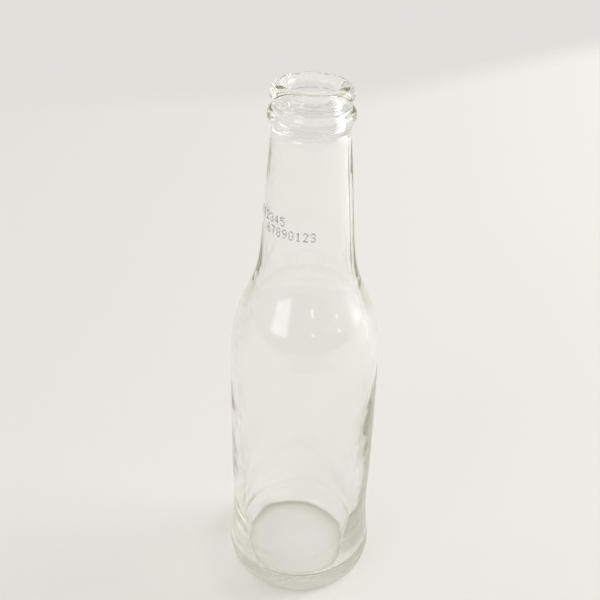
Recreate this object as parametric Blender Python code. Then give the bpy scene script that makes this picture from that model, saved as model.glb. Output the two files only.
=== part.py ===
"""Small clear glass soda bottle with a crown finish, open and empty.

The bottle is one piece of glass, turned about +Z and standing on z = 0.  The
only other thing on it is an ink-jet code of two lines of digits, printed on
the neck.  Every printed digit is a thin solid of its own, just off the glass.
All sizes below are in millimetres.
"""
from math import cos, pi, radians, sin

import bmesh
import bpy

MM = 0.001

# Overall size
HEIGHT = 194.2
SEGMENTS = 56
CURVE_STEPS = 2

# Crown finish: lip, locking ring, waist and the bead under it
BORE_RADIUS = 8.0
BORE_EDGE = 2.2
LIP_LAND_OUTER = 10.8
RING_RADIUS = 13.3
RING_Z = HEIGHT - 3.5
RING_UNDERCUT = (1.5, 1.7)
BEAD_RADIUS = 14.15
BEAD_Z = HEIGHT - 9.9
BEAD_CORE_RADIUS = 12.4
BEAD_HALF_HEIGHT = 2.4
BEAD_LIMIT_DEGREES = 80

# Outside of the neck, shoulder and body, from the bead down: (radius, height)
OUTER_STATIONS = [
    (12.85, 179.5),
    (13.3, 172.5),
    (14.25, 161.5),
    (15.05, 149.0),
    (16.0, 137.5),
    (17.4, 129.2),
    (20.1, 121.6),
    (23.3, 114.4),
    (25.5, 105.6),
    (26.35, 94.0),
    (26.35, 60.0),
    (26.1, 42.0),
    (25.8, 29.0),
    (26.4, 18.0),
    (27.1, 12.0),
]

# Heel, bearing ring and push-up
HEEL_RADIUS = 27.2
HEEL_HEIGHT = 9.0
BEARING_OUTER = 22.9
BEARING_INNER = 21.1
PUSH_UP_HEIGHT = 2.6

# Inside of the neck and body, from the bore down: (radius, height)
INNER_STATIONS = [
    (8.0, 188.0),
    (8.7, 185.5),
    (10.1, 182.0),
    (11.1, 178.5),
    (11.6, 172.5),
    (12.2, 162.0),
    (13.0, 150.0),
    (13.9, 138.0),
    (14.9, 129.4),
    (16.9, 122.0),
    (19.3, 115.0),
    (22.0, 105.6),
    (23.9, 93.0),
    (23.5, 68.0),
    (22.7, 44.0),
    (22.1, 26.0),
    (21.7, 9.8),
]
FLOOR_CORNER = (1.9, 3.4)
FLOOR_CROWN = 0.4

# Ink-jet code on the neck: text, height of its middle and angle of its first digit
CODE_LINES = [
    ("upper", "012345", 152.4, -84.0),
    ("lower", "67890123", 148.4, -61.0),
]
CELL_WIDTH = 0.58
CELL_HEIGHT = 0.62
DIGIT_COLUMNS = 3
DIGIT_ROWS = 5
DIGIT_PITCH = 2.4
INK_GAP = 0.06
INK_THICKNESS = 0.12
DIGIT_ROWS_BY_NAME = {
    "0": ("###", "#.#", "#.#", "#.#", "###"),
    "1": (".#.", "##.", ".#.", ".#.", "###"),
    "2": ("###", "..#", "###", "#..", "###"),
    "3": ("###", "..#", "###", "..#", "###"),
    "4": ("#.#", "#.#", "###", "..#", "..#"),
    "5": ("###", "#..", "###", "..#", "###"),
    "6": ("###", "#..", "###", "#.#", "###"),
    "7": ("###", "..#", "..#", "..#", "..#"),
    "8": ("###", "#.#", "###", "#.#", "###"),
    "9": ("###", "#.#", "###", "..#", "###"),
}


def arc(centre, radii, start_degrees, end_degrees, steps):
    """Points along an elliptical arc in the (radius, height) plane, ends included."""
    points = []
    for step in range(steps + 1):
        angle = radians(start_degrees + (end_degrees - start_degrees) * step / steps)
        points.append((centre[0] + radii[0] * cos(angle), centre[1] + radii[1] * sin(angle)))
    return points


def curve_through(stations, steps=CURVE_STEPS):
    """Smooth Catmull-Rom curve through the stations, ends included."""
    padded = [stations[0]] + list(stations) + [stations[-1]]
    points = []
    for before, start, end, after in zip(padded, padded[1:], padded[2:], padded[3:]):
        for step in range(steps):
            t = step / steps
            points.append(tuple(
                0.5 * (2 * b + (c - a) * t + (2 * a - 5 * b + 4 * c - d) * t ** 2
                       + (3 * b - a - 3 * c + d) * t ** 3)
                for a, b, c, d in zip(before, start, end, after)))
    return points + [stations[-1]]


def outer_profile():
    """Outside of the glass, from the lip's flat land down to the middle of the push-up."""
    ring_top = arc((LIP_LAND_OUTER, RING_Z), (RING_RADIUS - LIP_LAND_OUTER, HEIGHT - RING_Z), 90, 0, 5)
    ring_under = arc((RING_RADIUS - RING_UNDERCUT[0], RING_Z), RING_UNDERCUT, 0, -75, 3)
    bead = arc((BEAD_CORE_RADIUS, BEAD_Z), (BEAD_RADIUS - BEAD_CORE_RADIUS, BEAD_HALF_HEIGHT),
               BEAD_LIMIT_DEGREES, -BEAD_LIMIT_DEGREES, 7)
    heel = arc((BEARING_OUTER, HEEL_HEIGHT), (HEEL_RADIUS - BEARING_OUTER, HEEL_HEIGHT), 0, -90, 5)
    bearing_edge = (BEARING_INNER, 0.0)
    push_up = dome(bearing_edge, (0.0, PUSH_UP_HEIGHT))
    return ring_top + ring_under[1:] + bead + curve_through(OUTER_STATIONS) + heel + [bearing_edge] + push_up


def inner_profile():
    """Inside of the glass, from the middle of the floor up to the lip's flat land."""
    corner_r, corner_z = INNER_STATIONS[-1]
    corner = arc((corner_r - FLOOR_CORNER[0], corner_z), FLOOR_CORNER, 0, -90, 4)
    floor = dome(corner[-1], (0.0, corner[-1][1] + FLOOR_CROWN))
    mouth = arc((BORE_RADIUS + BORE_EDGE, HEIGHT - BORE_EDGE), (BORE_EDGE, BORE_EDGE), 90, 180, 4)
    downward = mouth + curve_through(INNER_STATIONS) + corner[1:] + floor
    return downward[::-1]


def dome(edge, crown, steps=4):
    """Points on a shallow dome from just inside its edge to its middle on the axis."""
    rise = crown[1] - edge[1]
    points = []
    for step in range(1, steps + 1):
        share = step / steps
        points.append((edge[0] * (1 - share), edge[1] + rise * sin(share * pi / 2)))
    return points


def outer_radius_at(height):
    """Outside radius of the neck at a height between the bead and the shoulder."""
    wall = curve_through(OUTER_STATIONS)
    for upper, lower in zip(wall, wall[1:]):
        if lower[1] <= height <= upper[1]:
            share = (height - lower[1]) / (upper[1] - lower[1])
            return lower[0] + (upper[0] - lower[0]) * share
    raise ValueError("height is off the neck")


def material(name, colour, roughness, transmission=0.0, ior=1.5):
    made = bpy.data.materials.new(name)
    made.use_nodes = True
    shader = made.node_tree.nodes["Principled BSDF"]
    shader.inputs["Base Color"].default_value = (*colour, 1.0)
    shader.inputs["Roughness"].default_value = roughness
    shader.inputs["Metallic"].default_value = 0.0
    shader.inputs["Transmission Weight"].default_value = transmission
    shader.inputs["IOR"].default_value = ior
    return made


def finish_object(name, bm, surface):
    """Turn a bmesh into a named object with outward faces and smooth round sides."""
    bmesh.ops.recalc_face_normals(bm, faces=bm.faces[:])
    mesh = bpy.data.meshes.new(name)
    bm.to_mesh(mesh)
    bm.free()
    mesh.shade_smooth()
    mesh.set_sharp_from_angle(angle=radians(40))
    mesh.materials.append(surface)
    made = bpy.data.objects.new(name, mesh)
    bpy.context.scene.collection.objects.link(made)
    return made


def make_bottle(surface):
    """Spin the closed wall section once round the axis."""
    section = outer_profile() + inner_profile()
    bm = bmesh.new()
    verts = [bm.verts.new((radius * MM, 0.0, height * MM)) for radius, height in section]
    edges = [bm.edges.new(pair) for pair in zip(verts, verts[1:])]
    edges.append(bm.edges.new((verts[-1], verts[0])))
    axis_edge = [edge for edge in edges if all(abs(vert.co.x) < 1e-9 for vert in edge.verts)]
    bmesh.ops.delete(bm, geom=axis_edge, context="EDGES")
    bmesh.ops.spin(bm, geom=bm.verts[:] + bm.edges[:], cent=(0, 0, 0), axis=(0, 0, 1),
                   angle=2 * pi, steps=SEGMENTS, use_duplicate=False)
    bmesh.ops.remove_doubles(bm, verts=bm.verts[:], dist=1e-6)
    return finish_object("bottle_glass", bm, surface)


def neck_point(arc_length, height, lift):
    """Point on the neck, by arc length round it from the front and by height."""
    radius = outer_radius_at(height)
    angle = arc_length / radius
    out = radius + lift
    return (out * sin(angle) * MM, -out * cos(angle) * MM, height * MM)


def make_digit(name, digit, start, middle, surface):
    """One printed digit: its filled cells joined into a single thin solid."""
    rows = DIGIT_ROWS_BY_NAME[digit]
    filled = {(column, row) for row in range(DIGIT_ROWS) for column in range(DIGIT_COLUMNS)
              if rows[DIGIT_ROWS - 1 - row][column] == "#"}
    bm = bmesh.new()
    corners = {}

    def corner(column, row, layer):
        key = (column, row, layer)
        if key not in corners:
            height = middle + (row - DIGIT_ROWS / 2) * CELL_HEIGHT
            lift = INK_GAP + layer * INK_THICKNESS
            corners[key] = bm.verts.new(neck_point(start + column * CELL_WIDTH, height, lift))
        return corners[key]

    for column, row in filled:
        square = [(column, row), (column + 1, row), (column + 1, row + 1), (column, row + 1)]
        for layer in (0, 1):
            bm.faces.new([corner(*spot, layer) for spot in square])
        neighbours = [(column, row - 1), (column + 1, row), (column, row + 1), (column - 1, row)]
        for side, neighbour in enumerate(neighbours):
            if neighbour not in filled:
                first, second = square[side], square[(side + 1) % 4]
                bm.faces.new([corner(*first, 0), corner(*second, 0),
                              corner(*second, 1), corner(*first, 1)])
    return finish_object(name, bm, surface)


def make_code(surface):
    """Both printed lines, digit by digit, running round the neck."""
    for line, text, middle, start_degrees in CODE_LINES:
        start = radians(start_degrees) * outer_radius_at(middle)
        for place, digit in enumerate(text):
            name = f"code_{line}_digit_{place + 1}"
            make_digit(name, digit, start + place * DIGIT_PITCH, middle, surface)


def main():
    for leftover in list(bpy.data.objects):
        bpy.data.objects.remove(leftover, do_unlink=True)
    glass = material("clear_glass", (0.93, 0.97, 0.95), 0.02, transmission=1.0, ior=1.52)
    ink = material("grey_ink", (0.10, 0.10, 0.11), 0.6)
    make_bottle(glass)
    make_code(ink)


main()
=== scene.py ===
"""Looks of the small clear glass soda bottle.

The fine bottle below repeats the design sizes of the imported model, in
millimetres, with rounder curves, slightly uneven glass, mould seams and a
stippled underside and heel.  The printed code becomes rows of ink dots.
"""
from math import cos, exp, pi, radians, sin

import bmesh
import bpy
from mathutils import Matrix, Vector, noise


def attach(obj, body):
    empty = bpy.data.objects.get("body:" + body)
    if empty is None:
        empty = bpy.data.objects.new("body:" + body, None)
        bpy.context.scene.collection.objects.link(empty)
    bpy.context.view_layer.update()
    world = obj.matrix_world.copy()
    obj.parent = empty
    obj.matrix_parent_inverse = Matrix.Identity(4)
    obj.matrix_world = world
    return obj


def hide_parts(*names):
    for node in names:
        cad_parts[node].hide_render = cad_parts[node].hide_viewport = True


MM = 0.001

# How finely the glass is divided, round the axis and along each of its curves
SEGMENTS = 240
CURVE_STEPS = 8
DOME_STEPS = 14
LIP_STEPS = 14
MOUTH_STEPS = 12
UNDERCUT_STEPS = 10
BEAD_STEPS = 20
HEEL_STEPS = 18
FLOOR_CORNER_STEPS = 14

# Overall size
HEIGHT = 194.2

# Crown finish: lip, locking ring, waist and the bead under it
BORE_RADIUS = 8.0
BORE_EDGE = 2.2
LIP_LAND_OUTER = 10.8
RING_RADIUS = 13.3
RING_Z = HEIGHT - 3.5
RING_UNDERCUT = (1.5, 1.7)
RING_UNDERCUT_DEGREES = -75
BEAD_RADIUS = 14.15
BEAD_Z = HEIGHT - 9.9
BEAD_CORE_RADIUS = 12.4
BEAD_HALF_HEIGHT = 2.4
BEAD_LIMIT_DEGREES = 80

# Outside of the neck, shoulder and body, from the bead down: (radius, height)
OUTER_STATIONS = [
    (12.85, 179.5),
    (13.3, 172.5),
    (14.25, 161.5),
    (15.05, 149.0),
    (16.0, 137.5),
    (17.4, 129.2),
    (20.1, 121.6),
    (23.3, 114.4),
    (25.5, 105.6),
    (26.35, 94.0),
    (26.35, 60.0),
    (26.1, 42.0),
    (25.8, 29.0),
    (26.4, 18.0),
    (27.1, 12.0),
]

# Heel, bearing ring and push-up
HEEL_RADIUS = 27.2
HEEL_HEIGHT = 9.0
BEARING_OUTER = 22.9
BEARING_INNER = 21.1
PUSH_UP_HEIGHT = 2.6

# The mould left the underside and the outside of the heel stippled: the heights (for the
# heel, also the radii) at which each frosting is full and at which it has faded out
STIPPLE_ROUGHNESS = 0.28
UNDERSIDE_FADE = (3.2, 5.8)
HEEL_FADE_UP = (7.0, 15.0)
HEEL_FADE_IN = (24.2, 23.2)

# Inside of the neck and body, from the bore down: (radius, height)
INNER_STATIONS = [
    (8.0, 188.0),
    (8.7, 185.5),
    (10.1, 182.0),
    (11.1, 178.5),
    (11.6, 172.5),
    (12.2, 162.0),
    (13.0, 150.0),
    (13.9, 138.0),
    (14.9, 129.4),
    (16.9, 122.0),
    (19.3, 115.0),
    (22.0, 105.6),
    (23.9, 93.0),
    (23.5, 68.0),
    (22.7, 44.0),
    (22.1, 26.0),
    (21.7, 9.8),
]
FLOOR_CORNER = (1.9, 3.4)
FLOOR_CROWN = 0.4

# The inside leans to one side, so the wall is thicker on the right
WALL_LEAN = 0.8
WALL_LEAN_TOP = 120.0
WALL_LEAN_RUN = 70.0

# The inside also wanders in and out, from under the finish down
UNEVEN_DEPTH = 0.22
UNEVEN_TOP = 170.0
UNEVEN_RUN = 25.0
UNEVEN_FULL_RADIUS = 20.0
UNEVEN_ROUND = 1.6
UNEVEN_PITCH = 22.0

# Glass: bending, tint and its strength per metre, and the faint ripples of its surface
GLASS_BENDING = 1.52
GLASS_TINT = (0.797, 0.824, 0.742, 1.0)
GLASS_TINT_DENSITY = 22.0
RIPPLE_SCALE = 55.0
RIPPLE_DETAIL = 2.0
RIPPLE_STRENGTH = 0.35
RIPPLE_HEIGHT = 0.0006

# Mould seams, on opposite sides
SEAM_ANGLE = radians(78)
SEAM_HEIGHT = 0.07
SEAM_WIDTH = 0.45
SEAM_TOP = 180.0
SEAM_FOOT = 8.0

# Ink-jet code on the neck: text, height of its middle and angle of its first digit
CODE_LINES = [
    ("upper", "012345", 152.4, -84.0),
    ("lower", "67890123", 148.4, -61.0),
]
DIGIT_PITCH = 2.4
DIGIT_SIZE = (1.74, 3.1)
DOT_RADIUS = 0.2
DOT_LIFT = (0.07, 0.12)
DOT_SIDES = 8
DOT_TOP_SHARE = 0.8
# Scatter of the dots: how far they stray, their size and its spread, and where noise is read
DOT_DRIFT = 0.06
DOT_SIZES = (0.92, 0.3)
DOT_NOISE = (3.1, 3.7, 0.5)
# Fixes that scatter, so that every run prints the same code
DOT_SEED = 1
DOT_FONT = {
    "0": (".###.", "#...#", "#...#", "#...#", "#...#", "#...#", ".###."),
    "1": ("..#..", ".##..", "..#..", "..#..", "..#..", "..#..", ".###."),
    "2": (".###.", "#...#", "....#", "...#.", "..#..", ".#...", "#####"),
    "3": (".###.", "#...#", "....#", "..##.", "....#", "#...#", ".###."),
    "4": ("...#.", "..##.", ".#.#.", "#..#.", "#####", "...#.", "...#."),
    "5": ("#####", "#....", "####.", "....#", "....#", "#...#", ".###."),
    "6": ("..##.", ".#...", "#....", "####.", "#...#", "#...#", ".###."),
    "7": ("#####", "....#", "...#.", "...#.", "..#..", "..#..", "..#.."),
    "8": (".###.", "#...#", "#...#", ".###.", "#...#", "#...#", ".###."),
    "9": (".###.", "#...#", "#...#", ".####", "....#", "...#.", ".##.."),
}

# Camera: stands in front (-Y), above the bottle, in metres and degrees
CAMERA_BACK = 0.3008
CAMERA_HEIGHT = 0.2973
CAMERA_DOWN = 31.05
CAMERA_ROLL = 1.575
CAMERA_TURN = -0.408
CAMERA_LENS = 60.66
CAMERA_SENSOR = 36.0
CAMERA_NEAREST = 0.01

# Light levels of the room, and the directions between which they blend
ROOM_BACK = (0.665, 0.645, 0.62, 1.0)
ROOM_FRONT = (0.18, 0.177, 0.171, 1.0)
ROOM_CEILING = (0.70, 0.68, 0.65, 1.0)
ROOM_FRONT_FADE = (0.35, -0.75)
ROOM_CEILING_FADE = (0.25, 0.85)
EXPOSURE = 0.205
LIGHT_BOUNCES = 128

# Lamps like curtained windows: name, place, aim, size in metres, power in watts
WINDOWS = [
    ("window_right", (1.3, 0.42, 0.60), (0, 0.42, 0.60), (1.3, 1.3), 21.0),
    ("window_left", (-1.02, -1.10, 0.43), (0, 0, 0.12), (1.05, 0.50), 5.0),
    ("lamp_front", (0.25, -1.17, 0.37), (0, 0, 0.12), (0.13, 0.10), 0.16),
    ("lamp_side", (1.0, -0.64, 0.30), (0, 0, 0.12), (0.12, 0.09), 0.12),
]
# Share of a window's width and height over which its light fades in from each edge
WINDOW_FADE = 0.28

# Soft pool of light on the floor: place, aim, spread in degrees, power in watts
POOL_PLACE = (0.75, 0.2, 0.9)
POOL_AIM = (0.46, 0.14, 0)
POOL_SPREAD = 26
POOL_POWER = 4.5
POOL_LAMP_RADIUS = 0.05

# Table top, in metres; it lies a hair under the bearing ring, so the two faces never coincide
TABLE_COLOUR = (0.90, 0.886, 0.868)
TABLE_ROUGHNESS = 0.8
TABLE_SHINE = 0.1
TABLE_Z = -0.00005
TABLE_CORNERS = [
    (-1.2, -0.9, TABLE_Z),
    (1.2, -0.9, TABLE_Z),
    (1.2, 1.0, TABLE_Z),
    (-1.2, 1.0, TABLE_Z),
]
# Its far edge runs aslant and fades out between two distances behind the bottle
TABLE_FADE = (0.49, 0.57)
TABLE_EDGE_SLANT = 0.12
# To the right the table reaches further back: by this much, growing between these x values
TABLE_RIGHT_REACH = 0.24
TABLE_RIGHT_SPAN = (0.05, 0.45)

# Marking ink, darker and paler in patches
INK_DARK = (0.085, 0.078, 0.092)
INK_PALE = (0.21, 0.20, 0.22)
INK_ROUGHNESS = 0.55
INK_PATCH_SCALE = 900.0
INK_PATCH_DETAIL = 3.0


def arc(centre, radii, start_degrees, end_degrees, steps):
    """Points along an elliptical arc in the (radius, height) plane, ends included."""
    points = []
    for step in range(steps + 1):
        angle = radians(start_degrees + (end_degrees - start_degrees) * step / steps)
        points.append((centre[0] + radii[0] * cos(angle), centre[1] + radii[1] * sin(angle)))
    return points


def curve_through(stations):
    """Smooth Catmull-Rom curve through the stations, ends included."""
    padded = [stations[0]] + list(stations) + [stations[-1]]
    points = []
    for before, start, end, after in zip(padded, padded[1:], padded[2:], padded[3:]):
        for step in range(CURVE_STEPS):
            t = step / CURVE_STEPS
            points.append(tuple(
                0.5 * (2 * b + (c - a) * t + (2 * a - 5 * b + 4 * c - d) * t ** 2
                       + (3 * b - a - 3 * c + d) * t ** 3)
                for a, b, c, d in zip(before, start, end, after)))
    return points + [stations[-1]]


def dome(edge, crown):
    """Points on a shallow dome from just inside its edge to its middle on the axis."""
    rise = crown[1] - edge[1]
    points = []
    for step in range(1, DOME_STEPS + 1):
        share = step / DOME_STEPS
        points.append((edge[0] * (1 - share), edge[1] + rise * sin(share * pi / 2)))
    return points


def outer_profile():
    """Outside of the glass, from the lip's flat land down to the middle of the push-up."""
    ring_top = arc((LIP_LAND_OUTER, RING_Z), (RING_RADIUS - LIP_LAND_OUTER, HEIGHT - RING_Z),
                   90, 0, LIP_STEPS)
    ring_under = arc((RING_RADIUS - RING_UNDERCUT[0], RING_Z), RING_UNDERCUT,
                     0, RING_UNDERCUT_DEGREES, UNDERCUT_STEPS)
    bead = arc((BEAD_CORE_RADIUS, BEAD_Z), (BEAD_RADIUS - BEAD_CORE_RADIUS, BEAD_HALF_HEIGHT),
               BEAD_LIMIT_DEGREES, -BEAD_LIMIT_DEGREES, BEAD_STEPS)
    wall = curve_through(OUTER_STATIONS)
    heel = arc((BEARING_OUTER, HEEL_HEIGHT), (HEEL_RADIUS - BEARING_OUTER, HEEL_HEIGHT),
               0, -90, HEEL_STEPS)
    bearing_edge = (BEARING_INNER, 0.0)
    push_up = dome(bearing_edge, (0.0, PUSH_UP_HEIGHT))
    return ring_top + ring_under[1:] + bead + wall + heel + [bearing_edge] + push_up


def inner_profile():
    """Inside of the glass, from the lip's flat land down to the middle of the floor."""
    mouth = arc((BORE_RADIUS + BORE_EDGE, HEIGHT - BORE_EDGE), (BORE_EDGE, BORE_EDGE),
                90, 180, MOUTH_STEPS)
    corner_r, corner_z = INNER_STATIONS[-1]
    corner = arc((corner_r - FLOOR_CORNER[0], corner_z), FLOOR_CORNER, 0, -90, FLOOR_CORNER_STEPS)
    floor = dome(corner[-1], (0.0, corner[-1][1] + FLOOR_CROWN))
    return mouth + curve_through(INNER_STATIONS) + corner[1:] + floor


def ring_verts(bm, radius, height, uneven):
    """One ring of vertices; uneven(angle, radius, height) moves each one outwards."""
    ring = []
    for place in range(SEGMENTS):
        angle = 2 * pi * place / SEGMENTS
        out = (radius + uneven(angle, radius, height)) * MM
        ring.append(bm.verts.new((out * sin(angle), -out * cos(angle), height * MM)))
    return ring


def join_rings(bm, first, second):
    """A band of faces between two rings of vertices."""
    for place in range(SEGMENTS):
        after = (place + 1) % SEGMENTS
        bm.faces.new((first[place], first[after], second[after], second[place]))


def turned_skin(bm, points, uneven):
    """One side of the glass, turned round the axis; returns the ring at its rim."""
    rings = [ring_verts(bm, radius, height, uneven) for radius, height in points[:-1]]
    tip = bm.verts.new((0.0, 0.0, points[-1][1] * MM))
    for first, second in zip(rings, rings[1:]):
        join_rings(bm, first, second)
    for place in range(SEGMENTS):
        bm.faces.new((rings[-1][place], rings[-1][(place + 1) % SEGMENTS], tip))
    return rings[0]


def add_object(name, bm, surface):
    """Turn a bmesh into a named object in one material."""
    mesh = bpy.data.meshes.new(name)
    bm.to_mesh(mesh)
    bm.free()
    mesh.materials.append(surface)
    made = bpy.data.objects.new(name, mesh)
    bpy.context.scene.collection.objects.link(made)
    return made


def make_bottle(surface):
    """The whole glass: its outer and inner sides, joined across the lip's flat land."""
    bm = bmesh.new()
    outer_rim = turned_skin(bm, outer_profile(), seam_ridge)
    inner_rim = turned_skin(bm, inner_profile(), inner_uneven)
    join_rings(bm, outer_rim, inner_rim)
    bmesh.ops.recalc_face_normals(bm, faces=bm.faces[:])
    made = add_object("bottle_fine", bm, surface)
    made.data.shade_smooth()
    return made


def seam_ridge(angle, radius, height):
    """The two halves of the mould leave a hairline ridge down opposite sides."""
    if height > SEAM_TOP or height < SEAM_FOOT:
        return 0.0
    off_seam = (angle - SEAM_ANGLE + pi / 2) % pi - pi / 2
    return SEAM_HEIGHT * exp(-(off_seam * radius / SEAM_WIDTH) ** 2)


def inner_uneven(angle, radius, height):
    """The inside wall leans and wanders a little, as it does in blown glass."""
    if height > UNEVEN_TOP:
        return 0.0
    fade = min(1.0, (UNEVEN_TOP - height) / UNEVEN_RUN) * min(1.0, radius / UNEVEN_FULL_RADIUS)
    place = Vector((sin(angle) * UNEVEN_ROUND, cos(angle) * UNEVEN_ROUND, height / UNEVEN_PITCH))
    lean_share = max(0.0, min(1.0, (WALL_LEAN_TOP - height) / WALL_LEAN_RUN))
    return UNEVEN_DEPTH * fade * noise.noise(place) - WALL_LEAN * lean_share * sin(angle)


def outer_radius_at(height):
    """Outside radius of the neck at a height between the bead and the shoulder."""
    wall = curve_through(OUTER_STATIONS)
    for upper, lower in zip(wall, wall[1:]):
        if lower[1] <= height <= upper[1]:
            share = (height - lower[1]) / (upper[1] - lower[1])
            return lower[0] + (upper[0] - lower[0]) * share
    raise ValueError("height is off the neck")


def neck_point(arc_length, height, lift):
    """Point on the neck, by arc length round it from the front and by height."""
    radius = outer_radius_at(height)
    angle = arc_length / radius
    out = (radius + lift) * MM
    return (out * sin(angle), -out * cos(angle), height * MM)


def add_dot(bm, across, height, size):
    """One ink dot: a low many-sided button standing just off the glass."""
    layers = []
    for lift, spread in zip(DOT_LIFT, (size, size * DOT_TOP_SHARE)):
        rim = []
        for side in range(DOT_SIDES):
            angle = 2 * pi * side / DOT_SIDES
            spot = neck_point(across + spread * cos(angle), height + spread * sin(angle), lift)
            rim.append(bm.verts.new(spot))
        layers.append(rim)
    low, high = layers
    bm.faces.new(low[::-1])
    bm.faces.new(high)
    for side in range(DOT_SIDES):
        after = (side + 1) % DOT_SIDES
        bm.faces.new((low[side], low[after], high[after], high[side]))


def make_digit(name, digit, start, middle, surface):
    """One printed digit in slightly scattered ink dots."""
    rows = DOT_FONT[digit]
    width, tall = (side - 2 * DOT_RADIUS for side in DIGIT_SIZE)
    bm = bmesh.new()
    for row, marks in enumerate(rows):
        for column, mark in enumerate(marks):
            if mark != "#":
                continue
            across = start + DOT_RADIUS + width * column / (len(marks) - 1)
            height = middle + tall * (0.5 - row / (len(rows) - 1))
            spot = Vector((across * DOT_NOISE[0], height * DOT_NOISE[1], DOT_NOISE[2]))
            drift = noise.noise_vector(spot)
            size = DOT_RADIUS * (DOT_SIZES[0] + DOT_SIZES[1] * drift.z)
            add_dot(bm, across + DOT_DRIFT * drift.x, height + DOT_DRIFT * drift.y, size)
    bmesh.ops.recalc_face_normals(bm, faces=bm.faces[:])
    return add_object(name, bm, surface)


def make_code(surface):
    """Both printed lines, each digit standing for its own CAD node."""
    noise.seed_set(DOT_SEED)
    for line, text, middle, start_degrees in CODE_LINES:
        start = radians(start_degrees) * outer_radius_at(middle)
        for place, digit in enumerate(text):
            name = f"ink_{line}_{place + 1}"
            made = make_digit(name, digit, start + place * DIGIT_PITCH, middle, surface)
            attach(made, "root")
            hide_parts(f"code_{line}_digit_{place + 1}")


def smooth_fade(tree, value, start, end):
    """Node result that rises softly from 0 to 1 as the value goes from start to end."""
    fade = tree.nodes.new("ShaderNodeMapRange")
    fade.interpolation_type = "SMOOTHSTEP"
    fade.inputs["From Min"].default_value = start
    fade.inputs["From Max"].default_value = end
    tree.links.new(value, fade.inputs["Value"])
    return fade.outputs["Result"]


def combine(tree, operation, *terms):
    """Result of one math node; each term is a socket or a plain number."""
    step = tree.nodes.new("ShaderNodeMath")
    step.operation = operation
    for socket, term in zip(step.inputs, terms):
        if isinstance(term, float):
            socket.default_value = term
        else:
            tree.links.new(term, socket)
    return step.outputs["Value"]


def blend_colours(tree, share, first, second):
    """Mix of two colours, each a socket or four plain numbers."""
    mix = tree.nodes.new("ShaderNodeMix")
    mix.data_type = "RGBA"
    tree.links.new(share, mix.inputs["Factor"])
    for socket, colour in ((mix.inputs["A"], first), (mix.inputs["B"], second)):
        if isinstance(colour, tuple):
            socket.default_value = colour
        else:
            tree.links.new(colour, socket)
    return mix.outputs["Result"]


def noise_pattern(tree, scale, detail):
    """Noise fixed to the object, between 0 and 1."""
    spot = tree.nodes.new("ShaderNodeTexCoord")
    pattern = tree.nodes.new("ShaderNodeTexNoise")
    pattern.inputs["Scale"].default_value = scale
    pattern.inputs["Detail"].default_value = detail
    tree.links.new(spot.outputs["Object"], pattern.inputs["Vector"])
    return pattern.outputs["Fac"]


def plain_material(name, colour, roughness):
    """Principled material in one colour."""
    made = bpy.data.materials.new(name)
    made.use_nodes = True
    shader = made.node_tree.nodes["Principled BSDF"]
    shader.inputs["Base Color"].default_value = (*colour, 1.0)
    shader.inputs["Roughness"].default_value = roughness
    return made


def ink_material():
    """Grey marking ink, thinner in places."""
    made = plain_material("marking_ink", INK_DARK, INK_ROUGHNESS)
    tree = made.node_tree
    patches = noise_pattern(tree, INK_PATCH_SCALE, INK_PATCH_DETAIL)
    tint = blend_colours(tree, patches, (*INK_DARK, 1.0), (*INK_PALE, 1.0))
    tree.links.new(tint, tree.nodes["Principled BSDF"].inputs["Base Color"])
    return made


def glass_material(name):
    """Faintly green glass: clear, but frosted underneath and round the outside of the heel."""
    made = plain_material(name, (1.0, 1.0, 1.0), 0.0)
    tree = made.node_tree
    shader = tree.nodes["Principled BSDF"]
    shader.inputs["Transmission Weight"].default_value = 1.0
    shader.inputs["IOR"].default_value = GLASS_BENDING
    ripples = tree.nodes.new("ShaderNodeBump")
    ripples.inputs["Strength"].default_value = RIPPLE_STRENGTH
    ripples.inputs["Distance"].default_value = RIPPLE_HEIGHT
    tree.links.new(noise_pattern(tree, RIPPLE_SCALE, RIPPLE_DETAIL), ripples.inputs["Height"])
    tree.links.new(ripples.outputs["Normal"], shader.inputs["Normal"])
    roughness = combine(tree, "MULTIPLY", stippled_share(tree), STIPPLE_ROUGHNESS)
    tree.links.new(roughness, shader.inputs["Roughness"])
    absorb = tree.nodes.new("ShaderNodeVolumeAbsorption")
    absorb.inputs["Color"].default_value = GLASS_TINT
    absorb.inputs["Density"].default_value = GLASS_TINT_DENSITY
    tree.links.new(absorb.outputs["Volume"], tree.nodes["Material Output"].inputs["Volume"])
    return made


def stippled_share(tree):
    """1 where the glass is stippled and 0 where it is clear."""
    spot = tree.nodes.new("ShaderNodeTexCoord").outputs["Object"]
    parts = tree.nodes.new("ShaderNodeSeparateXYZ")
    tree.links.new(spot, parts.inputs["Vector"])
    height = parts.outputs["Z"]
    flat = tree.nodes.new("ShaderNodeVectorMath")
    flat.operation = "MULTIPLY"
    flat.inputs[1].default_value = (1.0, 1.0, 0.0)
    tree.links.new(spot, flat.inputs[0])
    reach = tree.nodes.new("ShaderNodeVectorMath")
    reach.operation = "LENGTH"
    tree.links.new(flat.outputs["Vector"], reach.inputs[0])

    def frosting(value, full, clear):
        return smooth_fade(tree, value, clear * MM, full * MM)

    heel = combine(tree, "MULTIPLY", frosting(height, *HEEL_FADE_UP),
                   frosting(reach.outputs["Value"], *HEEL_FADE_IN))
    return combine(tree, "MAXIMUM", frosting(height, *UNDERSIDE_FADE), heel)


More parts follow.
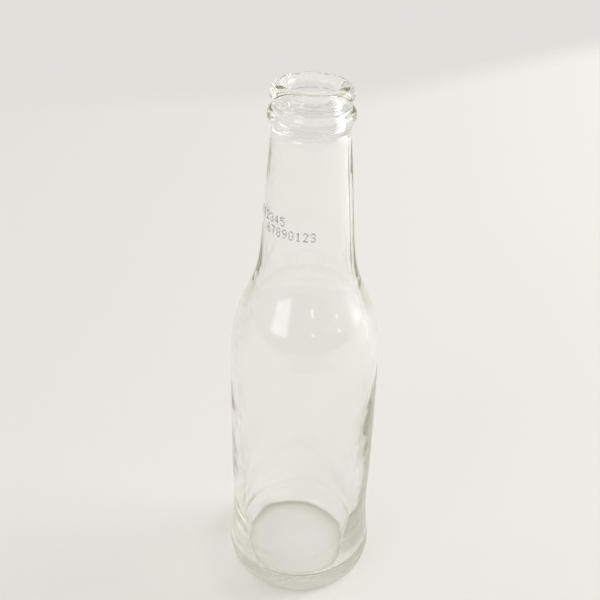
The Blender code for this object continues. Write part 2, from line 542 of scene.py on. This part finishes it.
def make_camera():
    """The camera looks down at the bottle, turned and rolled a little."""
    data = bpy.data.cameras.new("camera")
    data.lens = CAMERA_LENS
    data.sensor_width = CAMERA_SENSOR
    data.clip_start = CAMERA_NEAREST
    camera = bpy.data.objects.new("camera", data)
    bpy.context.scene.collection.objects.link(camera)
    down, turn, roll = radians(CAMERA_DOWN), radians(CAMERA_TURN), radians(CAMERA_ROLL)
    forward = Vector((sin(turn) * cos(down), cos(turn) * cos(down), -sin(down)))
    right = Vector((cos(turn), -sin(turn), 0.0))
    up = right.cross(forward)
    rolled_right = right * cos(roll) + up * sin(roll)
    rolled_up = up * cos(roll) - right * sin(roll)
    camera.matrix_world = Matrix((
        (rolled_right.x, rolled_up.x, -forward.x, 0.0),
        (rolled_right.y, rolled_up.y, -forward.y, -CAMERA_BACK),
        (rolled_right.z, rolled_up.z, -forward.z, CAMERA_HEIGHT),
        (0.0, 0.0, 0.0, 1.0)))
    bpy.context.scene.camera = camera


def make_floor():
    """The table top the bottle stands on, which is no part of the object."""
    bm = bmesh.new()
    bm.faces.new([bm.verts.new(corner) for corner in TABLE_CORNERS])
    made = add_object("floor", bm, floor_material())


def floor_material():
    """Pale matt table top, whose far edge melts softly into the room behind."""
    made = plain_material("floor", TABLE_COLOUR, TABLE_ROUGHNESS)
    tree = made.node_tree
    shader = tree.nodes["Principled BSDF"]
    shader.inputs["Specular IOR Level"].default_value = TABLE_SHINE
    spot = tree.nodes.new("ShaderNodeTexCoord").outputs["Object"]
    back = tree.nodes.new("ShaderNodeVectorMath")
    back.operation = "DOT_PRODUCT"
    back.inputs[1].default_value = (-TABLE_EDGE_SLANT, 1.0, 0.0)
    tree.links.new(spot, back.inputs[0])
    sides = tree.nodes.new("ShaderNodeSeparateXYZ")
    tree.links.new(spot, sides.inputs["Vector"])
    reach = tree.nodes.new("ShaderNodeMapRange")
    reach.inputs["From Min"].default_value = TABLE_RIGHT_SPAN[0]
    reach.inputs["From Max"].default_value = TABLE_RIGHT_SPAN[1]
    reach.inputs["To Max"].default_value = TABLE_RIGHT_REACH
    tree.links.new(sides.outputs["X"], reach.inputs["Value"])
    past_edge = combine(tree, "SUBTRACT", back.outputs["Value"], reach.outputs["Result"])
    clear = tree.nodes.new("ShaderNodeBsdfTransparent")
    mix = tree.nodes.new("ShaderNodeMixShader")
    tree.links.new(smooth_fade(tree, past_edge, *TABLE_FADE), mix.inputs["Fac"])
    tree.links.new(shader.outputs["BSDF"], mix.inputs[1])
    tree.links.new(clear.outputs["BSDF"], mix.inputs[2])
    tree.links.new(mix.outputs["Shader"], tree.nodes["Material Output"].inputs["Surface"])
    return made


def place_lamp(data, place, aim):
    """Stand a lamp at a place, facing its aim and unseen by the camera."""
    lamp = bpy.data.objects.new(data.name, data)
    bpy.context.scene.collection.objects.link(lamp)
    lamp.location = place
    lamp.rotation_euler = (Vector(aim) - Vector(place)).to_track_quat("-Z", "Y").to_euler()
    lamp.visible_camera = False


def make_window(name, place, aim, size, power):
    """A lamp like a window behind a thin curtain: its light fades out towards its edges."""
    data = bpy.data.lights.new(name, "AREA")
    data.shape = "RECTANGLE"
    data.size, data.size_y = size
    data.energy = power
    data.use_nodes = True
    tree = data.node_tree
    spot = tree.nodes.new("ShaderNodeNewGeometry")
    split = tree.nodes.new("ShaderNodeSeparateXYZ")
    tree.links.new(spot.outputs["Parametric"], split.inputs["Vector"])
    fades = []
    for axis in "XY":
        from_middle = combine(tree, "SUBTRACT", split.outputs[axis], 0.5)
        distance = combine(tree, "ABSOLUTE", from_middle)
        fades.append(smooth_fade(tree, distance, 0.5, 0.5 - WINDOW_FADE))
    tree.links.new(combine(tree, "MULTIPLY", *fades), tree.nodes["Emission"].inputs["Strength"])
    place_lamp(data, place, aim)


def make_pool():
    """A soft pool of light on the floor."""
    data = bpy.data.lights.new("pool_right", "SPOT")
    data.spot_size = radians(POOL_SPREAD)
    data.spot_blend = 1.0
    data.shadow_soft_size = POOL_LAMP_RADIUS
    data.energy = POOL_POWER
    place_lamp(data, POOL_PLACE, POOL_AIM)


def make_world():
    """A pale room: bright behind and above the bottle, dimmer on the camera's side."""
    world = bpy.data.worlds.new("studio")
    world.use_nodes = True
    tree = world.node_tree
    direction = tree.nodes.new("ShaderNodeTexCoord")
    split = tree.nodes.new("ShaderNodeSeparateXYZ")
    tree.links.new(direction.outputs["Generated"], split.inputs["Vector"])
    front = smooth_fade(tree, split.outputs["Y"], *ROOM_FRONT_FADE)
    ceiling = smooth_fade(tree, split.outputs["Z"], *ROOM_CEILING_FADE)
    walls = blend_colours(tree, front, ROOM_BACK, ROOM_FRONT)
    room = blend_colours(tree, ceiling, walls, ROOM_CEILING)
    tree.links.new(room, tree.nodes["Background"].inputs["Color"])
    bpy.context.scene.world = world


def set_rendering():
    """Plain colours, and enough bounces for light to find its way through thick glass."""
    scene = bpy.context.scene
    scene.view_settings.view_transform = "Standard"
    scene.view_settings.exposure = EXPOSURE
    scene.cycles.blur_glossy = 0.0
    scene.cycles.max_bounces = LIGHT_BOUNCES
    scene.cycles.transmission_bounces = LIGHT_BOUNCES
    scene.cycles.glossy_bounces = LIGHT_BOUNCES


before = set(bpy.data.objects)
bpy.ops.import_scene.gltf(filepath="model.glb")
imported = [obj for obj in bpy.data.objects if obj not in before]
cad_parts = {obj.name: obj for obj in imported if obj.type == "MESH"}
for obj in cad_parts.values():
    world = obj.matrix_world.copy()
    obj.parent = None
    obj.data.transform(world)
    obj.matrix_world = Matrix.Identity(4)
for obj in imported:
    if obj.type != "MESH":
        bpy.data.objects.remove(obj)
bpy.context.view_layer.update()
make_camera()
make_world()
make_floor()
for window in WINDOWS:
    make_window(*window)
make_pool()
bottle = make_bottle(glass_material("clear_glass_fine"))
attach(bottle, "root")
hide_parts("bottle_glass")
make_code(ink_material())
set_rendering()
